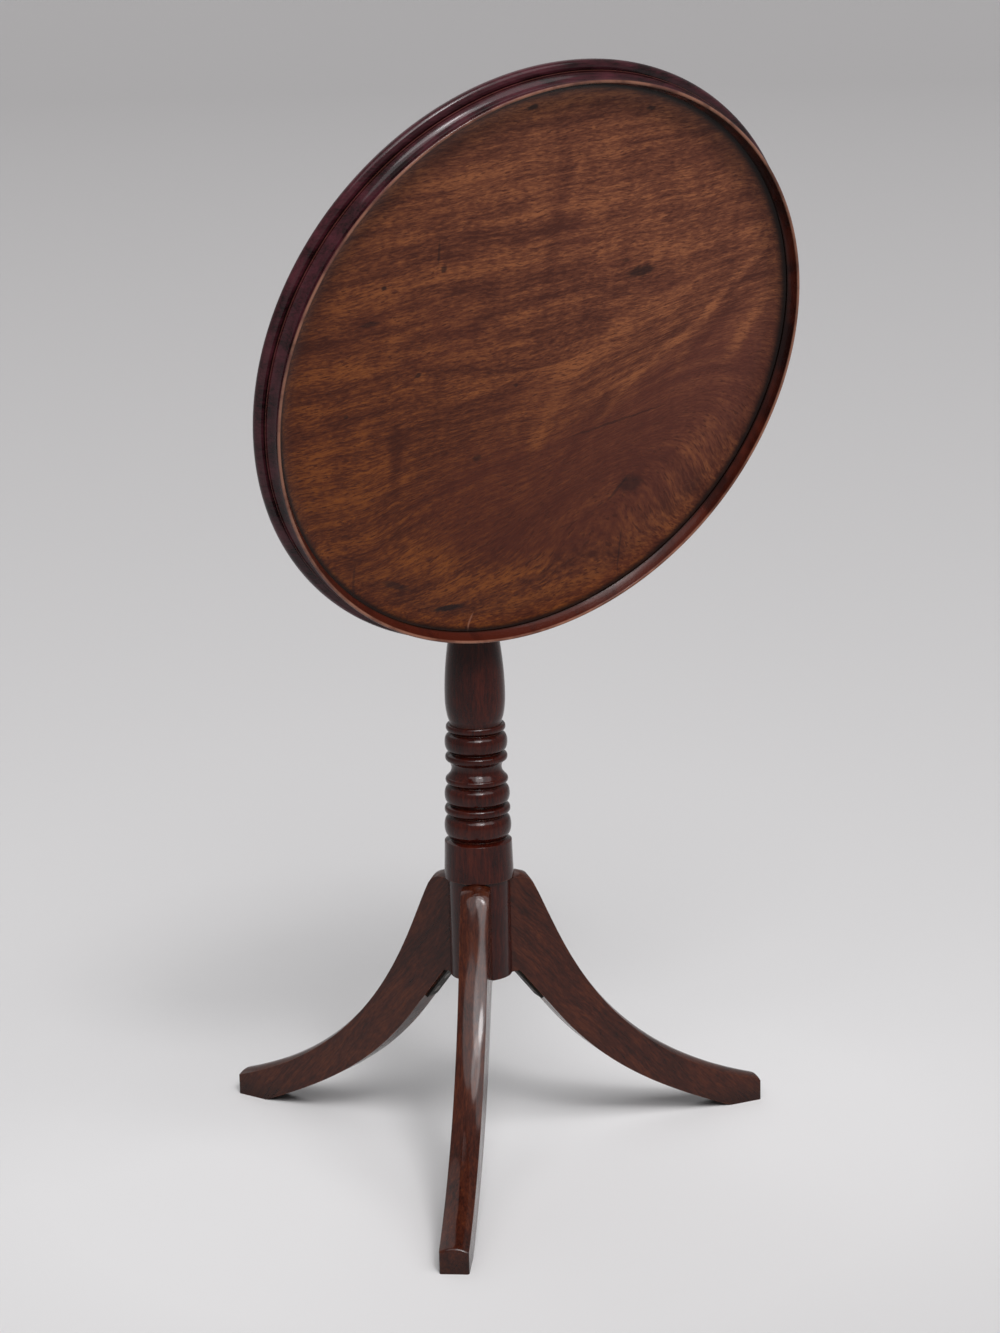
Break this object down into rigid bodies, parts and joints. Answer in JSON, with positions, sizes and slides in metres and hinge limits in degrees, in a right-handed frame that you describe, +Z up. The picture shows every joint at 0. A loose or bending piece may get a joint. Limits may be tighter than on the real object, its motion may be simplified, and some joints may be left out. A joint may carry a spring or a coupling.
{
  "type": "tripod table",
  "caption": "Small round mahogany table with a dished top that tips up on a turned column with sabre legs.",
  "frame": {"origin": "on the column's axis at floor level", "axes": "+Z up, X along the pins that the top tilts on, the face of the tipped top towards -Y"},
  "size_m": [0.5479, 0.4989, 0.9922],
  "materials": {
    "mahogany": "dark polished",
    "top_mahogany": "polished, with a worn sheen",
    "brass": "aged, hand rubbed",
    "iron": "forged, dark",
    "steel": "dulled"
  },
  "bodies": {
    "stand": {"column": "mahogany", "leg_right": "mahogany", "leg_back": "mahogany", "leg_front": "mahogany", "tenon_wedge": "mahogany", "pivot_block": "mahogany", "pivot_pin_left": "mahogany", "pivot_pin_right": "mahogany", "base_plate": "iron", "base_plate_screws": "steel", "keeper_plate": "brass", "keeper_screws": "brass"},
    "top": {"top_board": "top_mahogany", "bearer_left": "mahogany", "bearer_right": "mahogany", "bearer_screws": "steel", "catch_case": "brass", "catch_screws": "brass", "catch_spring": "steel"},
    "bolt": {"catch_bolt": "brass", "catch_knob": "brass"}
  },
  "joints": [
    {"name": "top_tilt", "type": "hinge", "parent": "stand", "child": "top", "pos_m": [0, -0.0675, 0.6817], "axis": [-1, 0, 0], "range_deg": [0, 107.99]},
    {"name": "catch_slide", "type": "slide", "parent": "top", "child": "bolt", "axis": [0, -0.3089, 0.9511], "range_m": [0, 0.008], "stiffness_N_per_m": 300, "springref_m": -0.01, "deforming": ["catch_spring"]}
  ]
}
